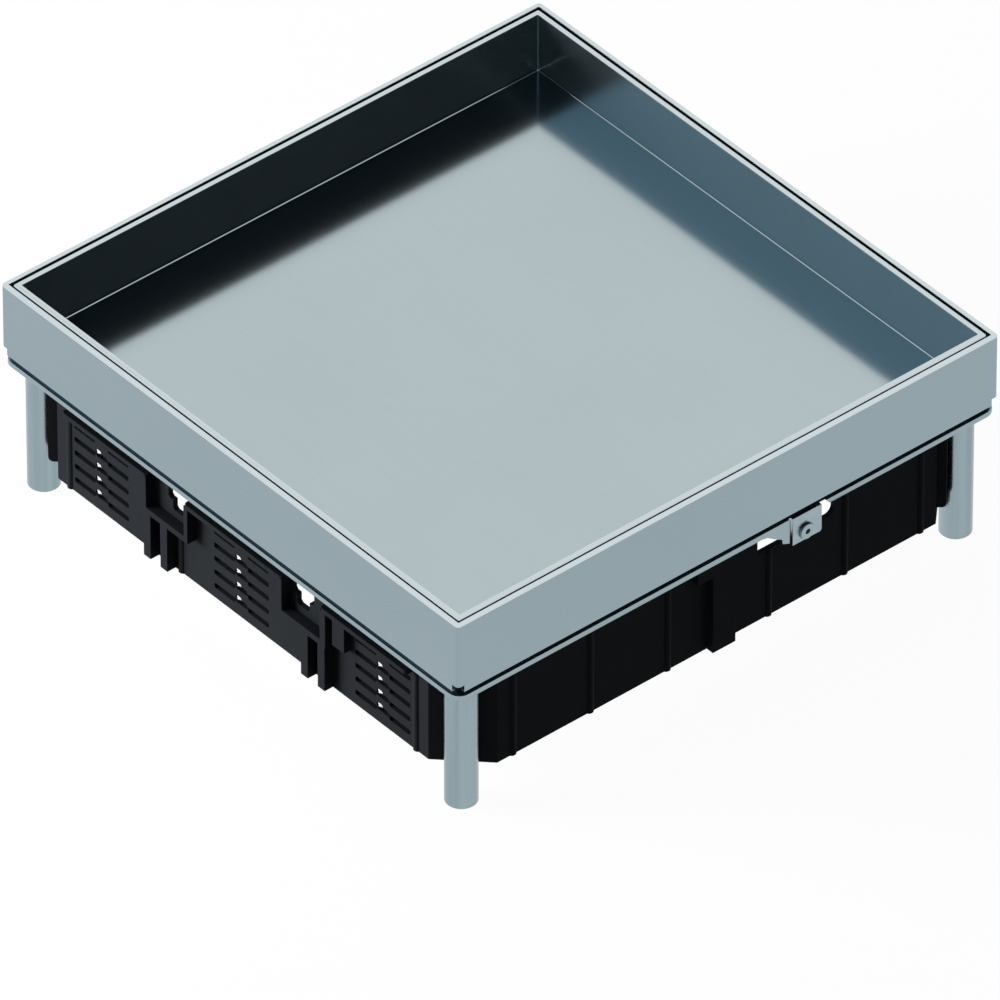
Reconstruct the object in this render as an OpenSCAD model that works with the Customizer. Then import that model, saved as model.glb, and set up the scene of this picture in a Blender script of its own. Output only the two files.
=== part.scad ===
// Floor box cover: a square steel frame with a lift-out tray lid, standing on
// four corner feet, with a moulded collar hanging below the base ring.
// The origin lies on the floor under the centre of the square.

/* [Frame] */
// Side of the square frame, outside
side = 246; // [240:1:300]
// Height from the floor to the top of the frame
total_height = 88; // [84:1:120]
// Height of the frame wall
frame_height = 30; // [26:0.2:34]
// Thickness of the folded steel sheet
sheet = 2; // [1.6:0.1:2.4]
// Outside radius of the frame's upright corners
bend_radius = 1.6; // [0.5:0.1:2]
// Width of the inward ledge that carries the tray
ledge_width = 18; // [16:0.5:24]
// Width of the relief notch at each bottom corner
relief_width = 3; // [2.5:0.1:5]
// Height of the relief notch at each bottom corner
relief_height = 2.9; // [2.4:0.1:5]
// Radius at the inner top of the relief notch
relief_radius = 1.9; // [0.5:0.1:2.2]

/* [Tray and seals] */
// Gap between the frame and the tray
tray_gap = 1.2; // [0.8:0.1:2]
// Height of the seal strip under the tray
lid_seal_height = 1; // [0.8:0.1:2.5]
// Width of the seal strip on the ledge
lid_seal_width = 6; // [4:0.5:8]
// Depth of the seal lip below the top edge
lip_drop = 0.5; // [0.3:0.1:6]
// Thickness of the seal lip on the frame's inner face
lip_thickness = 0.6; // [0.4:0.1:0.7]
// Thickness of the seal between the frame and the base ring
ring_seal_height = 2.2; // [1:0.1:3]
// How far that seal lies behind the outer faces
ring_seal_inset = 0.8; // [0.2:0.1:1.5]

/* [Base ring and feet] */
// Thickness of the base ring
ring_height = 2.05; // [1.5:0.05:3]
// Radius of the base ring's outer corners
ring_radius = 5; // [2:0.5:8]
// Diameter of a foot column
foot_diameter = 12; // [10:0.5:14]
// Distance from a column's axis to the outer faces
foot_inset = 10; // [8:0.5:11]
// Diameter of the corner screws
corner_screw_diameter = 5; // [4:0.5:6]
// Length of the corner screws
corner_screw_length = 30; // [16:1:34]

/* [Collar] */
// Distance from the frame's outer faces to the collar's walls
collar_inset = 6; // [5:0.5:7]
// Thickness of the collar's walls
collar_wall = 2; // [1.5:0.1:3]
// Height of the collar's lower edge above the floor
collar_lift = 11.8; // [6:0.1:13]
// Width of the chamfer at each corner, along one wall
collar_chamfer = 16.8; // [16.8:0.1:20]
// Spacing of the three vent fields
vent_pitch = 76; // [74:0.5:76]
// Length of one vent slot
vent_slot_length = 11.3; // [8:0.1:12]
// Length of the gap between the two slots of a row
vent_gap_length = 6.9; // [6.6:0.1:7.5]
// Height of a vent slot
vent_height = 2.25; // [1.6:0.05:2.4]
// Distance from the wall's middle to the middle of a cable pocket
pocket_offset = 36.7; // [36:0.1:37]
// Width of the opening in a cable pocket
pocket_width = 20.5; // [18:0.1:20.8]
// How far a pocket stands out from the wall
pocket_depth = 4.3; // [2:0.1:4.5]

/* [Earth tab] */
// Width of the earth tab
tab_width = 13.2; // [11:0.1:13.5]
// Height of the earth tab
tab_height = 11.8; // [10:0.1:12.5]
// Thickness of the earth tab
tab_sheet = 1.5; // [1:0.1:2]
// Distance of the tab's middle from the middle of its side
tab_offset = 36.6; // [36:0.1:37.5]

/* [Hidden] */
$fn = 48;

// How far a cutting shape runs past the surface it cuts
overrun = 0.5;
// Play around a screw that passes through a plate
screw_play = 0.25;
// Play of a screw thread in its tapped bore
thread_play = 0.05;

// Heights of the stack, from the floor up
frame_bottom = total_height - frame_height;
ledge_top = frame_bottom + sheet;
tray_bottom = ledge_top + lid_seal_height;
tray_floor = tray_bottom + sheet;
ring_top = frame_bottom - ring_seal_height;
ring_bottom = ring_top - ring_height;

// Plan sizes
half = side / 2;
frame_inside = side - 2 * sheet;
tray_side = frame_inside - 2 * tray_gap;
opening_side = side - 2 * ledge_width;
opening_radius = 3;
tray_radius = 1;

// Feet and corner screws
foot_axis = half - foot_inset;
screw_head_diameter = corner_screw_diameter + 2 * sheet;
socket_depth = 1.2;
socket_share = 0.6;
bore_depth = corner_screw_length;
foot_edge = 0.4;

// Collar
collar_half = half - collar_inset;
collar_front = -collar_half;
flat_end = collar_half - collar_chamfer;
collar_height = ring_bottom - collar_lift;
collar_root = collar_wall / 2;
bead_width = 3;
bead_depth = 0.85;
bead_radius = (bead_width * bead_width / 4 + bead_depth * bead_depth) / (2 * bead_depth);
bead_shares = [0.197, 0.496, 0.795];
vent_bead_inset = 6.6;

// Ribs that stand out from two of the chamfers
rib_offset = 1;
rib_sheet = 2;
rib_reach = 3.5;
rib_corner = 2;
rib_low_share = 0.157;
rib_low = collar_lift + rib_low_share * collar_height;

// Vent rows, as shares of the collar's height, and the parts of a row, as shares of the row spacing
vent_row_count = 5;
vent_first_share = 0.106;
vent_rise_share = 0.1442;
vent_first = collar_lift + vent_first_share * collar_height;
vent_rise = vent_rise_share * collar_height;
neck_low_share = 0.19;
link_low_share = 0.149;
link_over_share = 0.132;
pin_low_share = 0.365;
pin_high_share = 0.68;
recess_low_share = 0.083;
recess_high_share = 0.7;
vent_corner = 0.8;
link_start = -2.8;
link_end = 3;
pin_start = -3.2;
pin_end = -0.3;
recess_start = -5;
recess_end = -0.2;
recess_web = 0.6;

// Cable pockets, the flange between them, their legs and the blocks beside them
sill_share = 0.5364;
pocket_sill = collar_lift + sill_share * collar_height;
sill_thickness = 2.5;
pocket_shift = 0.3;
inner_cheek = 2;
outer_cheek = 2.9;
flange_drop = 4.85;
flange_thickness = 1.95;
flange_corner = 1.5;
flange_end_gap = 7.4;
flange_top = ring_bottom - flange_drop;
flange_low = flange_top - flange_thickness;
leg_width = 3.7;
leg_shift = 0.85;
leg_rise = 0.65;
outer_leg_offset = 10.35;
inner_leg_offset = 1.3;
block_offset = 18;
block_width = 6.4;
block_depth = 3;
small_bead_place = -32.8;

// The stepped notch behind a pocket, with its heights as shares of the height from the sill to the ring
notch_offset = 33.5;
notch_low_width = 6.6;
notch_high_width = 11.6;
notch_low_share = 0.154;
notch_step_share = 0.37;
notch_corner = 0.9;

// Centre post of the plain front wall
post_width = 10.3;
post_depth = 3.3;
post_cap_width = 17.2;
post_cap_side = 12.2;
post_cap_height = 8.2;

// Window in the collar for the earth tab
window_start = 17.8;
window_end = 53;
window_height = 12.25;
window_sill = ring_bottom - window_height;
window_radius = 3;

// Collar screws and the bosses that hold them
boss_diameter = 7;
boss_height = 14;
boss_inset = 5.2;
boss_end_gap = 4.6;
collar_screw_diameter = 3;
collar_screw_length = 12;
collar_head_diameter = 5.6;
collar_head_height = 1.3;
collar_socket_floor_share = 0.4;

// Earth tab, its gap in the ring and its rivet
gap_start = 27.3;
gap_end = 43.6;
gap_slant = 2.6;
gap_depth = 8;
ear_sheet = 1.8;
ear_reach = 15;
ear_drop = 10.4;
tab_setback = 1.4;
tab_corner = 1.2;
tab_reach = 30;
lug_hole = 4.3;
lug_hole_inset = 6;
rivet_diameter = 3.2;
rivet_head_diameter = 6.2;
rivet_head_height = 1.3;
rivet_bore = 2;
rivet_drop = 7.8;
rivet_shift = 0.6;
rivet_grip = 3.6;
pad_width = 9;
pad_root = 1.2;
pad_top_gap = 3.3;
tab_face = -half + tab_setback;

// Outline of the ear, as shares of its reach from the gap and of its drop below the ring's top
ear_shares = [[0, 0], [1, 0], [1, 0.15], [0.67, 0.25], [0.45, 0.48], [0.23, 0.66], [0.21, 0.87], [0, 1]];

// Places of the feet and of the collar screws
corner_signs = [[-1, -1], [1, -1], [1, 1], [-1, 1]];
boss_along = flat_end - boss_end_gap;
boss_across = collar_half - boss_inset;
boss_places = [[-boss_along, -boss_across], [boss_along, -boss_across],
               [boss_across, -boss_along], [boss_across, boss_along],
               [boss_along, boss_across], [-boss_along, boss_across],
               [-boss_across, boss_along], [-boss_across, -boss_along]];

// A square with round corners, centred
module rounded_square(width, radius) {
    square([width, width - 2 * radius], center = true);
    square([width - 2 * radius, width], center = true);
    for (s = corner_signs)
        translate(s * (width / 2 - radius)) circle(r = radius);
}

// A flat square ring standing on the given height
module square_ring(outer, outer_radius, inner, inner_radius, bottom, height) {
    translate([0, 0, bottom])
        linear_extrude(height)
            difference() {
                rounded_square(outer, outer_radius);
                rounded_square(inner, inner_radius);
            }
}

// A rectangle in the XZ plane, given a thickness along Y
module upright_plate(start, end, low, high, back, front) {
    translate([start, front, low])
        cube([end - start, back - front, high - low]);
}

// Children at the four corner screw axes
module at_feet() {
    for (s = corner_signs)
        translate(s * foot_axis) children();
}

// One relief notch, seen from the side, with its corner at the origin
module relief_profile() {
    square([relief_width, relief_height - relief_radius]);
    square([relief_width - relief_radius, relief_height]);
    translate([relief_width - relief_radius, relief_height - relief_radius]) circle(r = relief_radius);
}

// The notch cut through both faces that meet at one corner
module relief_cut() {
    for (side_turn = [0, 1])
        mirror([side_turn, -side_turn, 0])
            translate([-half - overrun, -half + relief_width, frame_bottom - overrun])
                rotate([90, 0, 0])
                    linear_extrude(relief_width + overrun)
                        union() {
                            square([relief_width + overrun, relief_height - relief_radius + overrun]);
                            translate([overrun, overrun]) relief_profile();
                            square([relief_width - relief_radius + overrun, relief_height + overrun]);
                        }
}

// The outer frame: an upright wall with the inward ledge folded at its foot
module frame_wall() {
    color([0.62, 0.68, 0.70])
    difference() {
        union() {
            square_ring(side, bend_radius, opening_side, opening_radius, frame_bottom, sheet);
            difference() {
                translate([0, 0, frame_bottom])
                    linear_extrude(frame_height) rounded_square(side, bend_radius);
                translate([-frame_inside / 2, -frame_inside / 2, frame_bottom - overrun])
                    cube([frame_inside, frame_inside, frame_height + 2 * overrun]);
            }
        }
        for (turn = [0:3])
            rotate([0, 0, 90 * turn]) relief_cut();
        at_feet()
            translate([0, 0, frame_bottom])
                countersink(corner_screw_diameter + 2 * screw_play, screw_head_diameter + 2 * screw_play, sheet);
    }
}

// A clear hole whose upper end widens into a cone of the given depth
module countersink(hole, head, depth) {
    translate([0, 0, -overrun]) cylinder(d = hole, h = depth + overrun);
    cylinder(d1 = hole, d2 = head, h = depth);
    translate([0, 0, depth]) cylinder(d = head, h = overrun);
}

// The lid: a square tray that takes the floor covering
module lid_tray() {
    color([0.70, 0.75, 0.77])
    difference() {
        translate([0, 0, tray_bottom])
            linear_extrude(total_height - tray_bottom) rounded_square(tray_side, tray_radius);
        translate([-tray_side / 2 + sheet, -tray_side / 2 + sheet, tray_floor])
            cube([tray_side - 2 * sheet, tray_side - 2 * sheet, total_height - tray_floor + overrun]);
    }
}

// The seal in the frame: a strip under the tray with a lip standing in the gap
module lid_seal() {
    strip_inside = frame_inside - 2 * lid_seal_width;
    lip_inside = frame_inside - 2 * lip_thickness;
    color([0.05, 0.05, 0.06])
    difference() {
        translate([-frame_inside / 2, -frame_inside / 2, ledge_top])
            cube([frame_inside, frame_inside, total_height - lip_drop - ledge_top]);
        translate([-strip_inside / 2, -strip_inside / 2, ledge_top - overrun])
            cube([strip_inside, strip_inside, total_height]);
        translate([-lip_inside / 2, -lip_inside / 2, tray_bottom])
            cube([lip_inside, lip_inside, total_height]);
        at_feet()
            translate([0, 0, ledge_top - overrun])
                cylinder(d = screw_head_diameter + 4 * screw_play, h = total_height);
    }
}

// The seal between the frame and the base ring
module ring_seal() {
    seal_side = side - 2 * ring_seal_inset;
    color([0.06, 0.09, 0.12])
    difference() {
        square_ring(seal_side, ring_radius, opening_side, opening_radius, ring_top, ring_seal_height);
        at_feet()
            translate([0, 0, ring_top - overrun])
                cylinder(d = corner_screw_diameter + 2 * screw_play, h = ring_seal_height + 2 * overrun);
    }
}

// The ear that hangs from the ring beside the earth tab
module ring_ear() {
    translate([gap_start, -half + ear_sheet, ring_top])
        rotate([90, 0, 0])
            linear_extrude(ear_sheet)
                polygon([for (p = ear_shares) [-p[0] * ear_reach, -p[1] * ear_drop]]);
}

// The gap in the ring, wider at its foot on the far side
module ring_gap() {
    translate([0, -half + gap_depth, ring_bottom])
        rotate([90, 0, 0])
            linear_extrude(gap_depth + overrun)
                polygon([[gap_start, -overrun], [gap_end + gap_slant, -overrun],
                         [gap_end, ring_height + overrun], [gap_start, ring_height + overrun]]);
}

// The base ring that carries the frame, the feet and the collar
module base_ring() {
    color([0.64, 0.70, 0.72])
    difference() {
        union() {
            square_ring(side, ring_radius, opening_side, opening_radius, ring_bottom, ring_height);
            ring_ear();
        }
        ring_gap();
        at_feet()
            translate([0, 0, ring_bottom - overrun])
                cylinder(d = corner_screw_diameter + 2 * screw_play, h = ring_height + 2 * overrun);
        for (place = boss_places)
            translate([place[0], place[1], ring_bottom]) {
                translate([0, 0, -overrun])
                    cylinder(d = collar_screw_diameter + 2 * screw_play, h = ring_height + 2 * overrun);
                translate([0, 0, ring_height - collar_head_height])
                    cylinder(d = collar_head_diameter + 2 * screw_play, h = collar_head_height + overrun);
            }
    }
}

// One foot: a column with a tapped bore from above
module foot_column(number) {
    corner = corner_signs[number - 1];
    color([0.66, 0.70, 0.72])
    translate([corner[0] * foot_axis, corner[1] * foot_axis, 0])
        difference() {
            union() {
                cylinder(d1 = foot_diameter - 2 * foot_edge, d2 = foot_diameter, h = foot_edge);
                translate([0, 0, foot_edge]) cylinder(d = foot_diameter, h = ring_bottom - foot_edge);
            }
            translate([0, 0, ring_bottom - bore_depth])
                cylinder(d = corner_screw_diameter + 2 * thread_play, h = bore_depth + overrun);
        }
}

// One countersunk screw through the ledge, the seal and the ring into a foot
module corner_screw(number) {
    corner = corner_signs[number - 1];
    color([0.72, 0.74, 0.75])
    translate([corner[0] * foot_axis, corner[1] * foot_axis, ledge_top])
        difference() {
            union() {
                translate([0, 0, -sheet]) cylinder(d1 = corner_screw_diameter, d2 = screw_head_diameter, h = sheet);
                translate([0, 0, -corner_screw_length])
                    cylinder(d = corner_screw_diameter, h = corner_screw_length - sheet);
            }
            translate([0, 0, -socket_depth])
                cylinder(d = corner_screw_diameter * socket_share, h = socket_depth + overrun, $fn = 6);
        }
}

// The closed outline of the collar at a distance inside its outer faces
module collar_outline(inwards) {
    reach = collar_half - inwards;
    cut = collar_chamfer - inwards * (2 - sqrt(2));
    polygon([[-reach, -reach + cut], [-reach + cut, -reach], [reach - cut, -reach], [reach, -reach + cut],
             [reach, reach - cut], [reach - cut, reach], [-reach + cut, reach], [-reach, reach - cut]]);
}

// Puts a shape drawn for the front wall on another wall
module on_wall(turn) {
    rotate([0, 0, 90 * turn]) translate([0, collar_front, 0]) children();
}

// An upright bead on a wall's outer face, half round
module bead(place, high) {
    translate([place, bead_radius - bead_depth, collar_lift])
        cylinder(r = bead_radius, h = high - collar_lift);
}

// A rib square to the chamfer, with its lower outer corner rounded
module corner_rib() {
    translate([flat_end, collar_front, 0])
        rotate([0, 0, 45])
            translate([rib_offset, 0, 0]) {
                translate([0, -rib_reach, rib_low + rib_corner])
                    cube([rib_sheet, rib_reach + collar_root, ring_bottom - rib_low - rib_corner]);
                translate([0, rib_corner - rib_reach, rib_low])
                    cube([rib_sheet, rib_reach - rib_corner + collar_root, ring_bottom - rib_low]);
                translate([0, rib_corner - rib_reach, rib_low + rib_corner])
                    rotate([0, 90, 0]) cylinder(r = rib_corner, h = rib_sheet);
            }
}

// A flat bar with round corners
module rounded_bar(start, end, low, high) {
    translate([start + vent_corner, low]) square([end - start - 2 * vent_corner, high - low]);
    translate([start, low + vent_corner]) square([end - start, high - low - 2 * vent_corner]);
    for (x = [start + vent_corner, end - vent_corner], y = [low + vent_corner, high - vent_corner])
        translate([x, y]) circle(r = vent_corner, $fn = 20);
}

// One row of a vent field: two slots, the raised link between them and its narrow neck
module vent_row(low) {
    near = vent_gap_length / 2;
    far = near + vent_slot_length;
    link_top = low + vent_height + link_over_share * vent_rise;
    rounded_bar(-far, -near, low, low + vent_height);
    rounded_bar(near, far, low, low + vent_height);
    rounded_bar(link_start, link_end, low + link_low_share * vent_rise, link_top);
    translate([-near - vent_corner, low + neck_low_share * vent_rise])
        square([2 * (near + vent_corner), vent_height - neck_low_share * vent_rise]);
}

// The hole above a link
module pin_hole(low) {
    rounded_bar(pin_start, pin_end, low + pin_low_share * vent_rise, low + pin_high_share * vent_rise);
}

// A vent field: equal rows, all but the top one with a hole above the link
module vent_field() {
    translate([0, collar_wall + overrun, 0])
        rotate([90, 0, 0])
            linear_extrude(collar_wall + 2 * overrun) {
                for (row = [0:vent_row_count - 1])
                    vent_row(vent_first + row * vent_rise);
                for (row = [0:vent_row_count - 2])
                    pin_hole(vent_first + row * vent_rise);
            }
    for (row = [0:vent_row_count - 2])
        upright_plate(recess_start, recess_end, vent_first + (row + recess_low_share) * vent_rise,
                      vent_first + (row + recess_high_share) * vent_rise, collar_wall + overrun, recess_web);
}

// A length of flange rooted in the wall, with round outer corners
module flange(start, end) {
    translate([0, 0, flange_low])
        linear_extrude(flange_thickness) {
            translate([start, flange_corner - pocket_depth])
                square([end - start, pocket_depth - flange_corner + collar_root]);
            translate([start + flange_corner, -pocket_depth])
                square([end - start - 2 * flange_corner, pocket_depth]);
            for (x = [start + flange_corner, end - flange_corner])
                translate([x, flange_corner - pocket_depth]) circle(r = flange_corner);
        }
}

// The cheeks and the sill of a cable pocket, with the flange that runs on to the wall's end
module pocket() {
    inner = pocket_offset - pocket_width / 2;
    outer = pocket_offset + pocket_width / 2;
    sill_low = pocket_sill - sill_thickness;
    cheek_top = flange_low + flange_thickness / 2;
    upright_plate(inner - inner_cheek, inner, sill_low, cheek_top, collar_root, -pocket_depth);
    upright_plate(outer, outer + outer_cheek, sill_low, cheek_top, collar_root, -pocket_depth);
    upright_plate(inner - inner_cheek, outer + outer_cheek, sill_low, pocket_sill, collar_root, -pocket_depth);
    flange(outer, flat_end - flange_end_gap);
}

// The two legs under a pocket's sill and the block beside the pocket
module pocket_legs() {
    for (place = [pocket_offset + inner_leg_offset, pocket_offset + outer_leg_offset])
        upright_plate(place - leg_width / 2, place + leg_width / 2, collar_lift + leg_rise,
                      pocket_sill - sill_thickness / 2, collar_root, -pocket_depth);
    block = pocket_offset + block_offset;
    upright_plate(block - block_width / 2, block + block_width / 2, pocket_sill, flange_low + flange_thickness / 2,
                  collar_root, -block_depth);
}

// The stepped notch in the wall behind a pocket
module pocket_notch() {
    low = pocket_sill + notch_low_share * (ring_bottom - pocket_sill);
    step = pocket_sill + notch_step_share * (ring_bottom - pocket_sill);
    translate([notch_offset, collar_wall + overrun, 0])
        rotate([90, 0, 0])
            linear_extrude(collar_wall + 2 * overrun)
                polygon([[-notch_low_width / 2, low + notch_corner], [-notch_low_width / 2 + notch_corner, low],
                         [notch_low_width / 2 - notch_corner, low], [notch_low_width / 2, low + notch_corner],
                         [notch_low_width / 2, step], [notch_high_width / 2 - notch_corner, step],
                         [notch_high_width / 2, step + notch_corner],
                         [notch_high_width / 2, ring_bottom + overrun],
                         [-notch_high_width / 2, ring_bottom + overrun],
                         [-notch_high_width / 2, step + notch_corner], [notch_corner - notch_high_width / 2, step],
                         [-notch_low_width / 2, step]]);
}

// The centre post with its wider cap
module centre_post() {
    upright_plate(-post_width / 2, post_width / 2, collar_lift, ring_bottom, collar_root, -post_depth);
    upright_plate(-post_cap_side, -post_cap_side + post_cap_width, ring_bottom - post_cap_height, ring_bottom,
                  collar_root, -post_depth);
}

// The window through which the earth tab reaches the inside
module tab_window() {
    translate([0, collar_wall + overrun, 0])
        rotate([90, 0, 0])
            linear_extrude(collar_wall + bead_depth + 2 * overrun) {
                translate([window_start, window_sill])
                    square([window_end - window_radius - window_start, window_height + overrun]);
                translate([window_end - window_radius - overrun, window_sill + window_radius])
                    square([window_radius + overrun, window_height - window_radius + overrun]);
                translate([window_end - window_radius, window_sill + window_radius]) circle(r = window_radius);
            }
}

// The pad behind the earth tab, rooted in the wall below the window
module tab_pad() {
    start = tab_offset - rivet_shift - pad_width / 2;
    front = tab_face + tab_sheet - collar_front;
    upright_plate(start, start + pad_width, window_sill - pad_root, window_sill, collar_root, front);
    upright_plate(start, start + pad_width, window_sill - pad_root, ring_bottom - pad_top_gap, 0, front);
}

// The closed wall of the collar with its beads, vents, notches and window
module collar_shell() {
    difference() {
        union() {
            translate([0, 0, collar_lift]) linear_extrude(collar_height) collar_outline(0);
            for (turn = [0, 1, 2], side_sign = [-1, 1], share = bead_shares)
                on_wall(turn) bead(side_sign * share * collar_half, ring_bottom);
            on_wall(3) for (s = [-1, 1]) bead(s * (flat_end - vent_bead_inset), ring_bottom);
            on_wall(3) bead(small_bead_place, pocket_sill - sill_thickness / 2);
        }
        translate([0, 0, collar_lift - overrun])
            linear_extrude(collar_height + 2 * overrun) collar_outline(collar_wall);
        on_wall(0) tab_window();
        on_wall(3) for (field = [-1, 0, 1]) translate([field * vent_pitch, 0, 0]) vent_field();
        on_wall(3) for (s = [0, 1]) mirror([s, 0, 0]) pocket_notch();
    }
}

// The moulded collar that lines the opening in the floor
module insert_collar() {
    flange_inner = pocket_offset - pocket_width / 2;
    color([0.09, 0.09, 0.10])
    difference() {
        union() {
            collar_shell();
            on_wall(3) translate([pocket_shift, 0, 0]) flange(-flange_inner, flange_inner);
            on_wall(3) for (s = [0, 1]) translate([pocket_shift, 0, 0]) mirror([s, 0, 0]) pocket();
            on_wall(3) for (s = [0, 1]) translate([leg_shift, 0, 0]) mirror([s, 0, 0]) pocket_legs();
            on_wall(0) centre_post();
            on_wall(0) tab_pad();
            for (s = [0, 1]) mirror([s, -s, 0]) corner_rib();
            for (place = boss_places)
                translate([place[0], place[1], ring_bottom - boss_height]) cylinder(d = boss_diameter, h = boss_height);
        }
        for (place = boss_places)
            translate([place[0], place[1], ring_bottom - collar_screw_length])
                cylinder(d = collar_screw_diameter + 2 * thread_play, h = collar_screw_length + overrun);
        translate([tab_offset - rivet_shift, tab_face + tab_sheet + rivet_grip, ring_bottom - rivet_drop])
            rotate([90, 0, 0]) cylinder(d = rivet_diameter + 2 * thread_play, h = rivet_grip + overrun);
    }
}

// The earth tab: an angle with its plate outside and its tongue under the ring
module earth_tab() {
    start = tab_offset - tab_width / 2;
    color([0.68, 0.73, 0.75])
    difference() {
        union() {
            translate([start, tab_face + tab_sheet, ring_bottom - tab_height])
                rotate([90, 0, 0])
                    linear_extrude(tab_sheet)
                        union() {
                            translate([0, tab_corner]) square([tab_width, tab_height - tab_corner]);
                            square([tab_width - tab_corner, tab_height]);
                            translate([tab_width - tab_corner, tab_corner]) circle(r = tab_corner);
                        }
            translate([start, tab_face, ring_bottom - tab_sheet])
                cube([tab_width, tab_reach, tab_sheet]);
        }
        translate([tab_offset - rivet_shift, tab_face + tab_sheet + overrun, ring_bottom - rivet_drop])
            rotate([90, 0, 0]) cylinder(d = rivet_diameter + 2 * thread_play, h = tab_sheet + 2 * overrun);
        translate([tab_offset, tab_face + tab_reach - lug_hole_inset, ring_bottom - tab_sheet - overrun])
            cylinder(d = lug_hole, h = tab_sheet + 2 * overrun);
    }
}

// The rivet that holds the earth tab: a domed head with an open middle
module earth_rivet() {
    head_radius = rivet_head_diameter / 2;
    dome_radius = (head_radius * head_radius + rivet_head_height * rivet_head_height) / (2 * rivet_head_height);
    color([0.66, 0.71, 0.73])
    translate([tab_offset - rivet_shift, tab_face, ring_bottom - rivet_drop])
        rotate([90, 0, 0])
            difference() {
                union() {
                    intersection() {
                        cylinder(d = rivet_head_diameter + overrun, h = rivet_head_height);
                        translate([0, 0, rivet_head_height - dome_radius]) sphere(r = dome_radius);
                    }
                    translate([0, 0, -tab_sheet - rivet_grip])
                        cylinder(d = rivet_diameter, h = tab_sheet + rivet_grip);
                }
                translate([0, 0, -tab_sheet])
                    cylinder(d = rivet_bore, h = tab_sheet + rivet_head_height + overrun);
            }
}

// One screw that holds the collar to the ring
module collar_screw(number) {
    place = boss_places[number - 1];
    color([0.72, 0.74, 0.75])
    translate([place[0], place[1], ring_top - collar_head_height])
        difference() {
            union() {
                cylinder(d = collar_head_diameter, h = collar_head_height);
                translate([0, 0, -collar_screw_length + overrun])
                    cylinder(d = collar_screw_diameter, h = collar_screw_length - overrun);
            }
            translate([0, 0, collar_head_height * collar_socket_floor_share])
                cylinder(d = collar_screw_diameter * socket_share, h = collar_head_height, $fn = 6);
        }
}

frame_wall();
lid_tray();
lid_seal();
ring_seal();
base_ring();
insert_collar();
earth_tab();
earth_rivet();
foot_column(1);  // foot_column_1
foot_column(2);  // foot_column_2
foot_column(3);  // foot_column_3
foot_column(4);  // foot_column_4
corner_screw(1);  // corner_screw_1
corner_screw(2);  // corner_screw_2
corner_screw(3);  // corner_screw_3
corner_screw(4);  // corner_screw_4
collar_screw(1);  // collar_screw_1
collar_screw(2);  // collar_screw_2
collar_screw(3);  // collar_screw_3
collar_screw(4);  // collar_screw_4
collar_screw(5);  // collar_screw_5
collar_screw(6);  // collar_screw_6
collar_screw(7);  // collar_screw_7
collar_screw(8);  // collar_screw_8
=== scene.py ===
"""Looks of the floor box cover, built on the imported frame: a steel frame with a
recessed tray, standing on four feet over a black moulded collar. Lengths are in
metres; a share says how much of its section's rounding an edge gets."""

import math

import bmesh
import bpy
from mathutils import Euler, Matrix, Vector


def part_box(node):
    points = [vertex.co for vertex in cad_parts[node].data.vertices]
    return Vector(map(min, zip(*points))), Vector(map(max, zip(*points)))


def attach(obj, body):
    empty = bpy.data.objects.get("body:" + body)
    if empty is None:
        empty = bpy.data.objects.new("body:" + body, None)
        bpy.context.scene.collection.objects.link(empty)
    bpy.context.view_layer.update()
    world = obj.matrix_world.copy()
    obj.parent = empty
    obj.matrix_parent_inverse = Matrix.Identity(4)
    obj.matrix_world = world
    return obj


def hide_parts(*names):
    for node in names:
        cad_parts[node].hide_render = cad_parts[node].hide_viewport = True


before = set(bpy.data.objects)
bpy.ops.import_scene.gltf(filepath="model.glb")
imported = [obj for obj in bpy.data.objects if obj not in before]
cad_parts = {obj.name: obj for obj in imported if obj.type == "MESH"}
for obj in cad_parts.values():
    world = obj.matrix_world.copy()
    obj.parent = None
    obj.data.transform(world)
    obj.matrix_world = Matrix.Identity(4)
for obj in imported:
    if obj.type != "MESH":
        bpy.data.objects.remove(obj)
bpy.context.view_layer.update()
scene = bpy.context.scene
scene.view_settings.view_transform = "Standard"


# Camera
# A long lens that stands over the corner between the vented side (-X) and the
# side with the earth tab (-Y), where the sides run almost parallel.

camera_turn = math.radians(-40.324)
camera_rise = math.radians(39.305)
camera_place = Vector((-3.99626, -4.70864, 5.05832))
lens_millimetres = 822.1
sensor_millimetres = 36.0
nearest = 0.1
farthest = 60.0

lens = bpy.data.cameras.new("product_camera")
lens.sensor_width = sensor_millimetres
lens.lens = lens_millimetres
lens.clip_start = nearest
lens.clip_end = farthest
camera = bpy.data.objects.new("product_camera", lens)
camera.location = camera_place
camera.rotation_euler = Euler((math.pi / 2 - camera_rise, 0.0, camera_turn))
scene.collection.objects.link(camera)
scene.camera = camera


# Floor
# A plain sheet of white paper: it reads as pure white to the eye and in the
# metal, and keeps the faint shadow that the cover throws on it.

floor_reach = 12.0
paper_glow = 0.96
paper_white = (1.0, 1.0, 1.0, 1.0)
paper_seen_grey = (0.10, 0.10, 0.10, 1.0)
paper_unseen_grey = (0.12, 0.12, 0.12, 1.0)


class Wire:
    """A socket that takes part in sums; each sum adds the Math node for it."""

    def __init__(self, finish, socket):
        self.finish = finish
        self.socket = socket

    def sum(self, operation, first, second, clamp=False):
        made = self.finish.node("ShaderNodeMath", {"operation": operation, "use_clamp": clamp},
                                {0: first, 1: second})
        return Wire(self.finish, made.outputs[0])

    def __add__(self, other):
        return self.sum("ADD", self, other)

    def __radd__(self, other):
        return self.sum("ADD", other, self)

    def __rsub__(self, other):
        return self.sum("SUBTRACT", other, self)

    def __mul__(self, other):
        return self.sum("MULTIPLY", self, other)

    def __gt__(self, other):
        return self.sum("GREATER_THAN", self, other)

    def clamped(self):
        return self.sum("ADD", self, 0.0, clamp=True)


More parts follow.
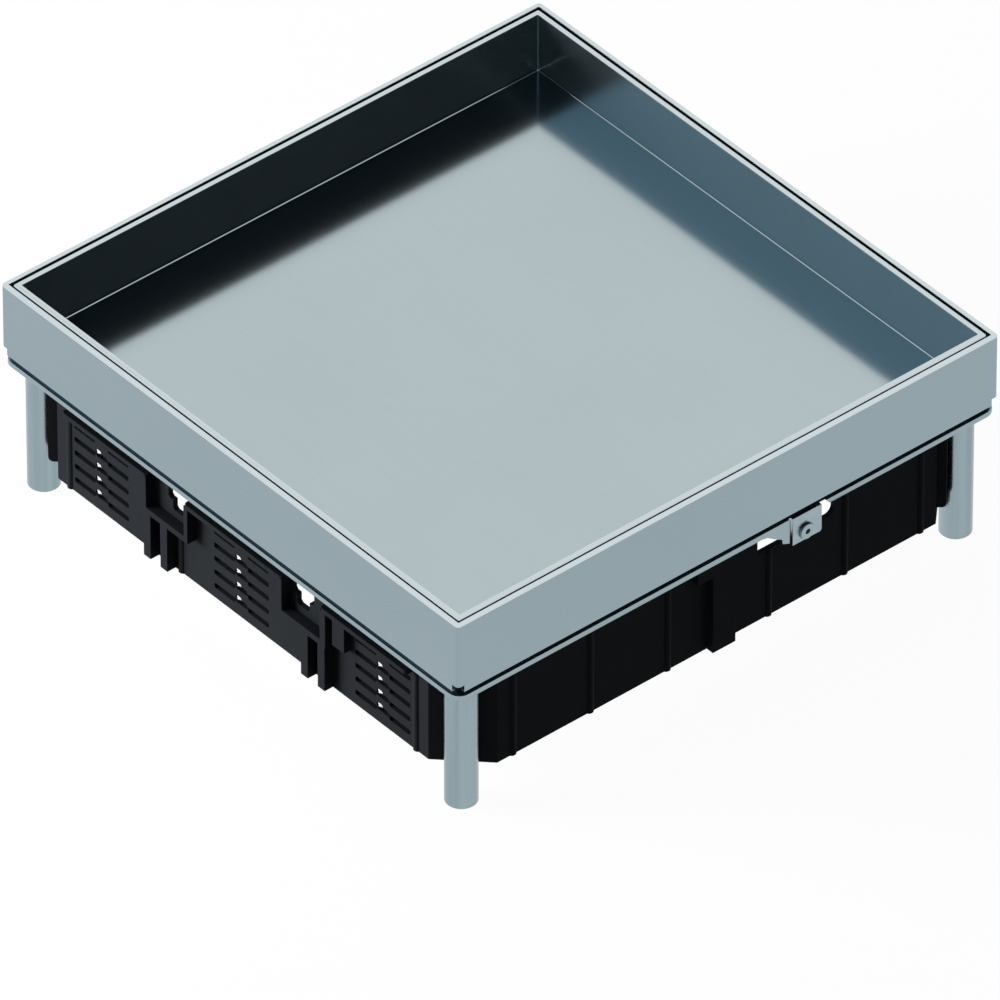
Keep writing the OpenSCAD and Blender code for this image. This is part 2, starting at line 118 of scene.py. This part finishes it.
class Finish:
    """One material, or the room's light: node() makes any of its nodes."""

    def __init__(self, name, owner=None):
        self.material = owner or bpy.data.materials.new(name)
        self.material.use_nodes = True
        self.tree = self.material.node_tree
        self.tree.nodes.clear()

    def feed(self, socket, value):
        """Links a wire to a socket, or writes a plain value into it."""
        if isinstance(value, Wire):
            self.tree.links.new(value.socket, socket)
        else:
            socket.default_value = value

    def node(self, kind, settings=None, values=None):
        made = self.tree.nodes.new(kind)
        for key, value in (settings or {}).items():
            setattr(made, key, value)
        for key, value in (values or {}).items():
            self.feed(made.inputs[key], value)
        return made

    def wire(self, made, output=0):
        return Wire(self, made.outputs[output])

    def seen(self):
        """1 to the eye and in a gloss, 0 to the light that falls on matt things."""
        ray = self.node("ShaderNodeLightPath")
        return (self.wire(ray, "Is Camera Ray") + self.wire(ray, "Is Glossy Ray")
                + self.wire(ray, "Is Transmission Ray")).clamped()

    def place(self):
        return self.wire(self.node("ShaderNodeTexCoord"), "Object")

    def height(self, place):
        """The height over the floor at each point."""
        return self.wire(self.node("ShaderNodeSeparateXYZ", None, {0: place}), "Z")

    def noise(self, place, scale, detail=2.0, rough=0.5):
        made = self.node("ShaderNodeTexNoise", None,
                         {"Vector": place, "Scale": scale, "Detail": detail, "Roughness": rough})
        return self.wire(made)

    def streaks(self, place, scales, detail, rough):
        """Noise with its own scale along each axis, for grain and drawn lines."""
        drawn = self.node("ShaderNodeMapping", None, {"Vector": place, "Scale": scales})
        return self.noise(self.wire(drawn), 1.0, detail, rough)

    def spread(self, wire, low, high, to_low=0.0, to_high=1.0):
        """Stretches the band from low to high of a wire to another band."""
        made = self.node("ShaderNodeMapRange", {"clamp": True},
                         {"Value": wire, "From Min": low, "From Max": high,
                          "To Min": to_low, "To Max": to_high})
        return self.wire(made)

    def blend(self, factor, first, second):
        """The first colour where the factor is 0 and the second where it is 1."""
        made = self.node("ShaderNodeMix", {"data_type": "RGBA"})
        sockets = {socket.identifier: socket for socket in made.inputs}
        self.feed(sockets["Factor_Float"], factor)
        self.feed(sockets["A_Color"], first)
        self.feed(sockets["B_Color"], second)
        return Wire(self, next(s for s in made.outputs if s.identifier == "Result_Color"))

    def openness(self, samples, distance):
        """1 on open faces, less in corners and recesses of about that distance."""
        made = self.node("ShaderNodeAmbientOcclusion", {"samples": samples}, {"Distance": distance})
        return self.wire(made, "AO")

    def bump(self, height, strength, normal=None, distance=0.0001):
        values = {"Height": height, "Strength": strength, "Distance": distance}
        if normal:
            values["Normal"] = normal
        return self.wire(self.node("ShaderNodeBump", None, values))

    def surface(self, values):
        shader = self.node("ShaderNodeBsdfPrincipled", None, values)
        self.node("ShaderNodeOutputMaterial", None, {"Surface": self.wire(shader)})

    def dress(self, *nodes):
        """Puts the material on CAD nodes that are shown as they are."""
        for name in nodes:
            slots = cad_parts[name].data.materials
            slots.clear()
            slots.append(self.material)


paper = Finish("white_paper")
sheen = paper.node("ShaderNodeBsdfDiffuse", None, {"Color": paper_seen_grey})
glow = paper.node("ShaderNodeEmission", None, {"Color": paper_white, "Strength": paper_glow})
bright = paper.node("ShaderNodeAddShader", None, {0: paper.wire(sheen), 1: paper.wire(glow)})
plain = paper.node("ShaderNodeBsdfDiffuse", None, {"Color": paper_unseen_grey})
paper_mix = paper.node("ShaderNodeMixShader", None,
                       {0: paper.seen(), 1: paper.wire(plain), 2: paper.wire(bright)})
paper.node("ShaderNodeOutputMaterial", None, {"Surface": paper.wire(paper_mix)})

sheet = bmesh.new()
bmesh.ops.create_grid(sheet, x_segments=1, y_segments=1, size=floor_reach)
floor_mesh = bpy.data.meshes.new("studio_floor")
sheet.to_mesh(floor_mesh)
sheet.free()
floor_mesh.materials.append(paper.material)
floor = bpy.data.objects.new("studio_floor", floor_mesh)
scene.collection.objects.link(floor)


# Room
# The air round the object: white to the eye and in the metal, and a weak even
# light on everything that is matt.

room_tint = (0.88, 0.94, 1.0, 1.0)
room_light = 0.07
room_white = (1.0, 1.0, 1.0, 1.0)

room = bpy.data.worlds.new("studio_room")
scene.world = room
air = Finish("studio_room", room)
ambient = air.node("ShaderNodeBackground", None, {"Color": room_tint, "Strength": room_light})
white = air.node("ShaderNodeBackground", None, {"Color": room_white, "Strength": 1.0})
air_mix = air.node("ShaderNodeMixShader", None,
                   {0: air.seen(), 1: air.wire(ambient), 2: air.wire(white)})
air.node("ShaderNodeOutputWorld", None, {"Surface": air.wire(air_mix)})


# Softboxes
# A large soft lamp that stands low beside the vented side, and a weak one
# overhead. Neither shows in the metal.

def softbox(name, place, side, power):
    light = bpy.data.lights.new(name, "AREA")
    light.shape = "SQUARE"
    light.size = side
    light.energy = power
    lamp = bpy.data.objects.new(name, light)
    lamp.location = place
    lamp.rotation_euler = Vector(place).to_track_quat("Z", "Y").to_euler()
    lamp.visible_glossy = False
    scene.collection.objects.link(lamp)


softbox("side_softbox", place=(-1.12, 0.96, 0.18), side=0.80, power=36.0)
softbox("top_softbox", place=(0.2, 0.3, 1.8), side=1.2, power=2.0)


# Reflector cards
# A dark and a blue-grey card for the inside of the tray: they show only there,
# where the metal reflects metal, and never in a first reflection.

second_reflection = 1.5


def card(name, direction, distance, width, height, tone):
    cloth = Finish(name + "_cloth")
    shine = cloth.node("ShaderNodeEmission", None, {"Color": tone, "Strength": 1.0})
    clear = cloth.node("ShaderNodeBsdfTransparent")
    again = cloth.wire(cloth.node("ShaderNodeLightPath"), "Glossy Depth") > second_reflection
    show = cloth.node("ShaderNodeMixShader", None,
                      {0: again, 1: cloth.wire(clear), 2: cloth.wire(shine)})
    cloth.node("ShaderNodeOutputMaterial", None, {"Surface": cloth.wire(show)})
    shape = bmesh.new()
    bmesh.ops.create_grid(shape, x_segments=1, y_segments=1, size=0.5)
    bmesh.ops.scale(shape, vec=(width, height, 1.0), verts=shape.verts)
    mesh = bpy.data.meshes.new(name)
    shape.to_mesh(mesh)
    shape.free()
    mesh.materials.append(cloth.material)
    panel = bpy.data.objects.new(name, mesh)
    panel.location = Vector(direction).normalized() * distance
    panel.rotation_euler = Vector(direction).to_track_quat("Z", "Y").to_euler()
    panel.visible_camera = False
    panel.visible_diffuse = False
    panel.visible_shadow = False
    panel.visible_transmission = False
    scene.collection.objects.link(panel)


card("dark_card", direction=(0.12, -0.84, 0.50), distance=1.5, width=5.2, height=2.8,
     tone=(0.004, 0.006, 0.010, 1.0))
card("grey_card", direction=(-0.80, 0.30, 0.50), distance=1.8, width=3.6, height=2.8,
     tone=(0.27, 0.39, 0.50, 1.0))


# Lid tray
# The lift-out tray that takes the floor covering: satin stainless sheet, folded
# up with a round outer edge and a small round where its walls meet the floor.

tray_colour = (0.423, 0.503, 0.523, 1.0)
tray_bright = (0.440, 0.520, 0.541, 1.0)
# Painted highlight: a lighter colour on the top rims of the tray and the frame stands in for the
# bright light they catch.
painted_rim_highlight = (0.610, 0.685, 0.710, 1.0)
tray_low, tray_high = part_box("lid_tray")
tray_sheet = 0.002
tray_outer = tray_high.x
tray_inner = tray_outer - tray_sheet
tray_floor = tray_low.z + tray_sheet
tray_swell = 0.0003
tray_round = 0.0008
tray_round_steps = 4
tray_border = 0.0004
inner_rim_share = 0.2
fold_share = 0.5
shortest_upright = 0.001
tray_highlight_depth = 0.0007
wall_starts = 0.0006
wall_is_full = 0.0014
tray_roughness = 0.13
grain_roughening = 0.02
wall_roughening = 0.04
wall_dulling = 0.07
hair = 0.00002
weld_reach = 0.000002
flat_turn = math.radians(0.6)
sharp_turn = math.radians(30)


def merged(node):
    """The merged copy of a CAD node, with its flat faces whole again."""
    shape = bmesh.new()
    shape.from_mesh(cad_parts[node].data)
    bmesh.ops.remove_doubles(shape, verts=shape.verts, dist=weld_reach)
    bmesh.ops.dissolve_limit(shape, angle_limit=flat_turn, verts=shape.verts, edges=shape.edges)
    return shape


def rounded(shape, rounding):
    """Gives each sharp edge the share of the rounding that rounding() returns for its ends."""
    share = shape.edges.layers.float.new("bevel_weight_edge")
    for edge in shape.edges:
        sharp = edge.calc_face_angle(0.0) > sharp_turn
        edge[share] = rounding(edge.verts[0].co, edge.verts[1].co) if sharp else 0.0


def fitted(name, shape, finish, node, width=0.0, steps=3):
    """A finished piece from the merged copy of a node, which it replaces."""
    mesh = bpy.data.meshes.new(name)
    shape.to_mesh(mesh)
    shape.free()
    mesh.polygons.foreach_set("use_smooth", [True] * len(mesh.polygons))
    mesh.set_sharp_from_angle(angle=sharp_turn)
    mesh.materials.append(finish.material)
    piece = bpy.data.objects.new(name, mesh)
    scene.collection.objects.link(piece)
    if width:
        edge = piece.modifiers.new("rounded_edges", "BEVEL")
        edge.limit_method = "WEIGHT"
        edge.width = width
        edge.segments = steps
        edge.use_clamp_overlap = False
        edge.harden_normals = True
    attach(piece, "root")
    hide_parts(node)


def reach(point):
    """How far out of the middle a point lies, measured square."""
    return max(abs(point.x), abs(point.y))


def tray_rounding(first, second):
    inmost, outmost = sorted((reach(first), reach(second)))
    lower, upper = sorted((first.z, second.z))
    if lower > tray_high.z - hair:
        return 1.0 if inmost > tray_outer - tray_border else inner_rim_share
    on_floor = lower > tray_floor - hair and upper < tray_floor + hair
    inner_upright = upper - lower > shortest_upright and outmost < tray_inner + hair
    return fold_share if on_floor or inner_upright else 0.0


tray_steel = Finish("tray_steel")
tray_place = tray_steel.place()
tray_height = tray_steel.height(tray_place)
tray_cloud = tray_steel.noise(tray_place, scale=14.0, detail=3.0)
tray_grain = tray_steel.streaks(tray_place, scales=(900.0, 40.0, 40.0), detail=4.0, rough=0.6)
tray_mottle = tray_steel.spread(tray_cloud * 0.6 + tray_grain * 0.4, low=0.35, high=0.65)
tray_tone = tray_steel.blend(tray_mottle, tray_colour, tray_bright)
on_wall = tray_steel.spread(tray_height, low=tray_floor + wall_starts,
                            high=tray_floor + wall_is_full)
tray_steel.surface({
    # The top band of the tray takes the painted rim highlight.
    "Base Color": tray_steel.blend(tray_height > tray_high.z - tray_highlight_depth,
                                   tray_tone, painted_rim_highlight),
    "Metallic": 1.0 - on_wall * wall_dulling,
    "Roughness": tray_roughness + on_wall * wall_roughening + tray_grain * grain_roughening,
    "Normal": tray_steel.bump(tray_grain, strength=0.04),
})

tray = merged("lid_tray")
rounded(tray, tray_rounding)
for vert in tray.verts:
    if reach(vert.co) > tray_inner + tray_sheet / 2:
        vert.co.x *= 1.0 + tray_swell / tray_outer
        vert.co.y *= 1.0 + tray_swell / tray_outer
fitted("lid_tray_sheet", tray, tray_steel, "lid_tray", tray_round, tray_round_steps)


# Frame wall
# The folded steel frame round the tray: satin sheet with a grain along each
# side, its sheared edges drawn slightly round.

frame_colour = (0.287, 0.369, 0.403, 1.0)
frame_bright = (0.296, 0.379, 0.413, 1.0)
frame_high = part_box("frame_wall")[1]
frame_round = 0.00045
frame_border = 0.001
frame_highlight_depth = 0.0005
inner_edge_share = 0.3


def frame_rounding(first, second):
    if min(first.z, second.z) < frame_high.z - hair:
        return 0.0
    return 1.0 if reach(first) > frame_high.x - frame_border else inner_edge_share


frame_steel = Finish("frame_steel")
frame_place = frame_steel.place()
frame_height = frame_steel.height(frame_place)
frame_cloud = frame_steel.noise(frame_place, scale=11.0, detail=3.0)
frame_grain = frame_steel.streaks(frame_place, scales=(50.0, 50.0, 1100.0), detail=4.0, rough=0.6)
frame_mottle = frame_steel.spread(frame_cloud * 0.7 + frame_grain * 0.3, low=0.38, high=0.62)
frame_tone = frame_steel.blend(frame_mottle, frame_colour, frame_bright)
frame_steel.surface({
    # The top band of the frame takes the painted rim highlight.
    "Base Color": frame_steel.blend(frame_height > frame_high.z - frame_highlight_depth,
                                    frame_tone, painted_rim_highlight),
    "Metallic": 1.0,
    "Roughness": frame_steel.spread(frame_grain, low=0.3, high=0.7, to_low=0.25, to_high=0.28),
    "Normal": frame_steel.bump(frame_grain, strength=0.012),
})

wall = merged("frame_wall")
rounded(wall, frame_rounding)
fitted("frame_wall_sheet", wall, frame_steel, "frame_wall", frame_round)


# Seals
# Black rubber: one strip with a thin lip in the gap round the tray, and one
# flat strip between the frame and the base ring, dusted blue-grey outside.

lip_width = 0.0008
lip_sink = 0.0006
lip_search = 0.002
lip_dark = (0.010, 0.012, 0.015, 1.0)
lip_light = (0.016, 0.019, 0.024, 1.0)
strip_dark = (0.016, 0.031, 0.046, 1.0)
strip_light = (0.023, 0.042, 0.060, 1.0)
rubber_roughness = 0.8

lip_rubber = Finish("lip_rubber")
lip_grain = lip_rubber.noise(lip_rubber.place(), scale=2500.0)
lip_rubber.surface({
    "Base Color": lip_rubber.blend(lip_grain, lip_dark, lip_light),
    "Roughness": rubber_roughness,
    "Specular IOR Level": 0.05,
    "Normal": lip_rubber.bump(lip_grain, strength=0.1),
})
strip_rubber = Finish("strip_rubber")
strip_place = strip_rubber.place()
strip_grain = strip_rubber.noise(strip_place, scale=2200.0)
strip_dust = strip_rubber.noise(strip_place, scale=60.0, detail=3.0)
strip_rubber.surface({
    "Base Color": strip_rubber.blend(strip_dust, strip_dark, strip_light),
    "Roughness": rubber_roughness,
    "Specular IOR Level": 0.03,
    "Normal": strip_rubber.bump(strip_grain, strength=0.1),
})
strip_rubber.dress("ring_seal")

seal = merged("lid_seal")
seal_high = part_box("lid_seal")[1]
for vert in seal.verts:
    if vert.co.z > seal_high.z - hair:
        vert.co.z -= lip_sink
        for axis in (0, 1):
            if seal_high.x - lip_search < abs(vert.co[axis]) < seal_high.x - hair:
                vert.co[axis] = math.copysign(seal_high.x - lip_width, vert.co[axis])
fitted("lid_seal_strip", seal, lip_rubber, "lid_seal")


# Base ring
# The flat steel ring that carries everything, laser cut, with a hanging ear
# beside the gap for the earth tab.

ring_colour = (0.290, 0.372, 0.404, 1.0)
ring_bright = (0.315, 0.398, 0.430, 1.0)
ring_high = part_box("base_ring")[1]
ring_round = 0.00035
ring_round_steps = 2
ring_border = 0.0055
ring_depth = 0.003
ring_shortest = 0.0004

ring_steel = Finish("ring_steel")
ring_place = ring_steel.place()
ring_cloud = ring_steel.noise(ring_place, scale=25.0, detail=3.0)
ring_grain = ring_steel.streaks(ring_place, scales=(60.0, 60.0, 1400.0), detail=4.0, rough=0.6)
ring_mottle = ring_steel.spread(ring_cloud * 0.6 + ring_grain * 0.4, low=0.36, high=0.64)
ring_steel.surface({
    "Base Color": ring_steel.blend(ring_mottle, ring_colour, ring_bright),
    "Metallic": 1.0,
    "Roughness": ring_steel.spread(ring_grain, low=0.3, high=0.7, to_low=0.24, to_high=0.32),
    "Normal": ring_steel.bump(ring_grain, strength=0.05),
})


def ring_rounding(first, second):
    outer = min(reach(first), reach(second)) > ring_high.x - ring_border
    level = abs(first.z - second.z) < hair and min(first.z, second.z) > ring_high.z - ring_depth
    return 1.0 if outer and level and (first - second).length > ring_shortest else 0.0


ring = merged("base_ring")
rounded(ring, ring_rounding)
fitted("base_ring_plate", ring, ring_steel, "base_ring",
       ring_round, ring_round_steps)


# Feet
# Four lengths of drawn steel bar, with fine drawn lines along them; broad soft
# streaks in their colour are a painted reflection of the light and shade round them.

feet_dark = (0.235, 0.312, 0.345, 1.0)
feet_light = (0.345, 0.430, 0.462, 1.0)
feet_count = 4

feet_steel = Finish("feet_steel")
feet_place = feet_steel.place()
# Painted reflection: broad lighter and darker streaks along the bar.
feet_reflection_streaks = feet_steel.streaks(feet_place, scales=(240.0, 240.0, 3.0), detail=2.0, rough=0.45)
feet_line = feet_steel.streaks(feet_place, scales=(1600.0, 1600.0, 12.0), detail=3.0, rough=0.5)
feet_reflection_and_grain = feet_steel.spread(feet_reflection_streaks * 0.8 + feet_line * 0.2, low=0.3, high=0.7)
feet_steel.surface({
    "Base Color": feet_steel.blend(feet_reflection_and_grain, feet_dark, feet_light),
    "Metallic": 1.0,
    "Roughness": feet_steel.spread(feet_line, low=0.3, high=0.7, to_low=0.22, to_high=0.30),
    "Normal": feet_steel.bump(feet_line, strength=0.06),
})
for number in range(1, feet_count + 1):
    column = "foot_column_%d" % number
    fitted("foot_bar_%d" % number, merged(column), feet_steel, column)


# Insert collar
# One black moulding with vents, cable pockets, legs, ribs and beads: matt
# spark-eroded plastic, its edges a little round from the mould.

moulding_dark = (0.024, 0.027, 0.031, 1.0)
moulding_light = (0.030, 0.033, 0.038, 1.0)
# The colour of the painted shade in the moulding's corners and recesses.
moulding_painted_shade = (0.0145, 0.016, 0.019, 1.0)
moulding_round = 0.0003
moulding_shade_reach = 0.016

moulding = Finish("black_moulding")
moulding_place = moulding.place()
moulding_grain = moulding.noise(moulding_place, scale=1800.0, detail=3.0)
moulding_cloud = moulding.noise(moulding_place, scale=22.0, detail=3.0)
moulding_edge = moulding.node("ShaderNodeBevel", {"samples": 4}, {"Radius": moulding_round})
# Painted shade: the colour darkens in corners and recesses, where shade falls.
moulding_shade_mask = moulding.spread(moulding.openness(samples=6, distance=moulding_shade_reach),
                                low=0.25, high=0.85)
moulding_tone = moulding.blend(moulding_cloud, moulding_dark, moulding_light)
moulding.surface({
    "Base Color": moulding.blend(moulding_shade_mask, moulding_painted_shade, moulding_tone),
    "Roughness": moulding.spread(moulding_grain, low=0.3, high=0.7, to_low=0.55, to_high=0.68),
    "Specular IOR Level": 0.024,
    "Normal": moulding.bump(moulding_grain, strength=0.12, normal=moulding.wire(moulding_edge)),
})
moulding.dress("insert_collar")


# Earth tab and rivet
# A small zinc-plated angle with a hollow rivet through it, for the earth wire:
# the rivet's head is a turned disc with a round rim and a sunk bore.

zinc_dark = (0.300, 0.385, 0.420, 1.0)
zinc_light = (0.35, 0.43, 0.46, 1.0)
# The colour of the painted contact shade round the rivet head and in its bore.
zinc_painted_shade = (0.03, 0.04, 0.05, 1.0)
zinc_shade_reach = 0.0012
tab_round = 0.0002
tab_round_steps = 2
tab_shortest = 0.003
head_radius = 0.0031
head_height = 0.0013
head_round = 0.0003
head_round_share = 0.3
bore_radius = 0.00105
bore_depth = 0.0016
shank_radius = 0.0016
turns = 48

zinc = Finish("zinc_plate")
zinc_place = zinc.place()
zinc_cloud = zinc.noise(zinc_place, scale=320.0, detail=3.0)
zinc_grain = zinc.streaks(zinc_place, scales=(200.0, 200.0, 1600.0), detail=3.0, rough=0.6)
# Painted shade: the colour darkens in crevices and at contacts, where shade falls.
zinc_shade_mask = zinc.spread(zinc.openness(samples=8, distance=zinc_shade_reach), low=0.35, high=0.75)
zinc_tone = zinc.blend(zinc.spread(zinc_cloud, low=0.3, high=0.7), zinc_dark, zinc_light)
zinc.surface({
    "Base Color": zinc.blend(zinc_shade_mask, zinc_painted_shade, zinc_tone),
    "Metallic": 1.0,
    "Roughness": zinc.spread(zinc_grain, low=0.3, high=0.7, to_low=0.26, to_high=0.36),
    "Normal": zinc.bump(zinc_grain, strength=0.08),
})

tab = merged("earth_tab")
rounded(tab, lambda first, second: 1.0 if (first - second).length > tab_shortest else 0.0)
fitted("earth_tab_angle", tab, zinc, "earth_tab", tab_round, tab_round_steps)

rivet_low, rivet_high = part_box("earth_rivet")
rivet_x = (rivet_low.x + rivet_high.x) / 2
rivet_z = (rivet_low.z + rivet_high.z) / 2
rivet_length = rivet_high.y - rivet_low.y
profile = [(0.0, bore_depth), (bore_radius, bore_depth), (bore_radius, head_round / 2),
           (bore_radius + head_round / 2, 0.0), (head_radius - head_round, 0.0),
           (head_radius - head_round * head_round_share, head_round * head_round_share),
           (head_radius, head_round), (head_radius, head_height), (shank_radius, head_height),
           (shank_radius, rivet_length), (0.0, rivet_length)]
rivet = bmesh.new()
path = [rivet.verts.new((rivet_x + radius, rivet_low.y + depth, rivet_z))
        for radius, depth in profile]
runs = [rivet.edges.new(pair) for pair in zip(path, path[1:])]
bmesh.ops.spin(rivet, geom=path + runs, cent=(rivet_x, 0.0, rivet_z), axis=(0.0, 1.0, 0.0),
               angle=2 * math.pi, steps=turns, use_merge=True)
bmesh.ops.remove_doubles(rivet, verts=rivet.verts, dist=weld_reach)
bmesh.ops.recalc_face_normals(rivet, faces=rivet.faces)
fitted("earth_rivet_head", rivet, zinc, "earth_rivet")


# Screws
# Zinc-plated machine screws, out of sight under the tray: four in the corners
# and eight in the collar.

screw_dark = (0.42, 0.46, 0.48, 1.0)
screw_light = (0.52, 0.56, 0.58, 1.0)
corner_screws = 4
collar_screws = 8

screw_steel = Finish("screw_steel")
screw_grain = screw_steel.noise(screw_steel.place(), scale=900.0, detail=3.0)
screw_steel.surface({
    "Base Color": screw_steel.blend(screw_grain, screw_dark, screw_light),
    "Metallic": 1.0,
    "Roughness": screw_steel.spread(screw_grain, low=0.3, high=0.7, to_low=0.28, to_high=0.36),
    "Normal": screw_steel.bump(screw_grain, strength=0.06),
})
screw_steel.dress(*["corner_screw_%d" % number for number in range(1, corner_screws + 1)],
                  *["collar_screw_%d" % number for number in range(1, collar_screws + 1)])
